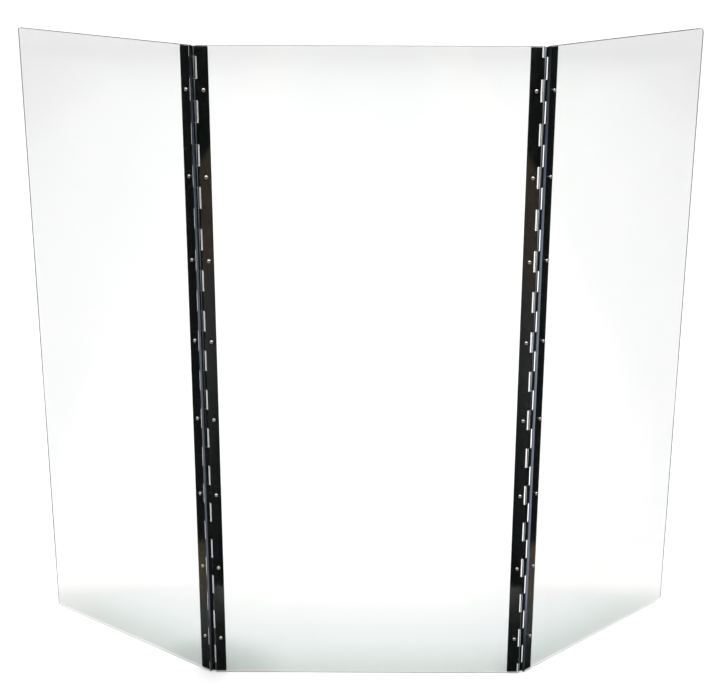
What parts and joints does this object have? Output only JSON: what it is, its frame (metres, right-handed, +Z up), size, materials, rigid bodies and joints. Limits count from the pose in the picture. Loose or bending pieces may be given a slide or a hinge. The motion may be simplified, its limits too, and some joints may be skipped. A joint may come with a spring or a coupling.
{
  "type": "folding clear screen",
  "caption": "Free-standing clear plastic screen: a flat centre panel with a clear wing on each side, each wing on a full-height black continuous hinge.",
  "frame": {"origin": "middle of the centre panel's bottom face, on the surface that the screen stands on", "axes": "+X along the centre panel, to the right as seen from the front; +Y to the back, the way the wings fold; +Z up"},
  "size_m": [0.8674, 0.2081, 0.8128],
  "materials": {
    "clear_sheet": "clear cast acrylic sheet with flat, polished edges",
    "hinge_black": "satin black",
    "pin_steel": "drawn wire",
    "rivet_metal": "bright"
  },
  "bodies": {
    "centre": {"centre_panel": "clear_sheet", "left_hinge_centre_leaf": "hinge_black", "right_hinge_centre_leaf": "hinge_black", "left_hinge_pin": "pin_steel", "right_hinge_pin": "pin_steel", "left_centre_rivet_1": "rivet_metal", "left_centre_rivet_2": "rivet_metal", "left_centre_rivet_3": "rivet_metal", "left_centre_rivet_4": "rivet_metal", "left_centre_rivet_5": "rivet_metal", "left_centre_rivet_6": "rivet_metal", "left_centre_rivet_7": "rivet_metal", "left_centre_rivet_8": "rivet_metal", "right_centre_rivet_1": "rivet_metal", "right_centre_rivet_2": "rivet_metal", "right_centre_rivet_3": "rivet_metal", "right_centre_rivet_4": "rivet_metal", "right_centre_rivet_5": "rivet_metal", "right_centre_rivet_6": "rivet_metal", "right_centre_rivet_7": "rivet_metal", "right_centre_rivet_8": "rivet_metal"},
    "left_wing": {"left_panel": "clear_sheet", "left_hinge_wing_leaf": "hinge_black", "left_wing_rivet_1": "rivet_metal", "left_wing_rivet_2": "rivet_metal", "left_wing_rivet_3": "rivet_metal", "left_wing_rivet_4": "rivet_metal", "left_wing_rivet_5": "rivet_metal", "left_wing_rivet_6": "rivet_metal", "left_wing_rivet_7": "rivet_metal", "left_wing_rivet_8": "rivet_metal"},
    "right_wing": {"right_panel": "clear_sheet", "right_hinge_wing_leaf": "hinge_black", "right_wing_rivet_1": "rivet_metal", "right_wing_rivet_2": "rivet_metal", "right_wing_rivet_3": "rivet_metal", "right_wing_rivet_4": "rivet_metal", "right_wing_rivet_5": "rivet_metal", "right_wing_rivet_6": "rivet_metal", "right_wing_rivet_7": "rivet_metal", "right_wing_rivet_8": "rivet_metal"}
  },
  "joints": [
    {"name": "left_wing_fold", "type": "hinge", "parent": "centre", "child": "left_wing", "pos_m": [-0.2026, 0.00455, 0], "axis": [0, 0, -1], "range_deg": [-55.3, 142.7]},
    {"name": "right_wing_fold", "type": "hinge", "parent": "centre", "child": "right_wing", "pos_m": [0.2006, 0.00455, 0], "axis": [0, 0, 1], "range_deg": [-60.6, 133.4]}
  ]
}
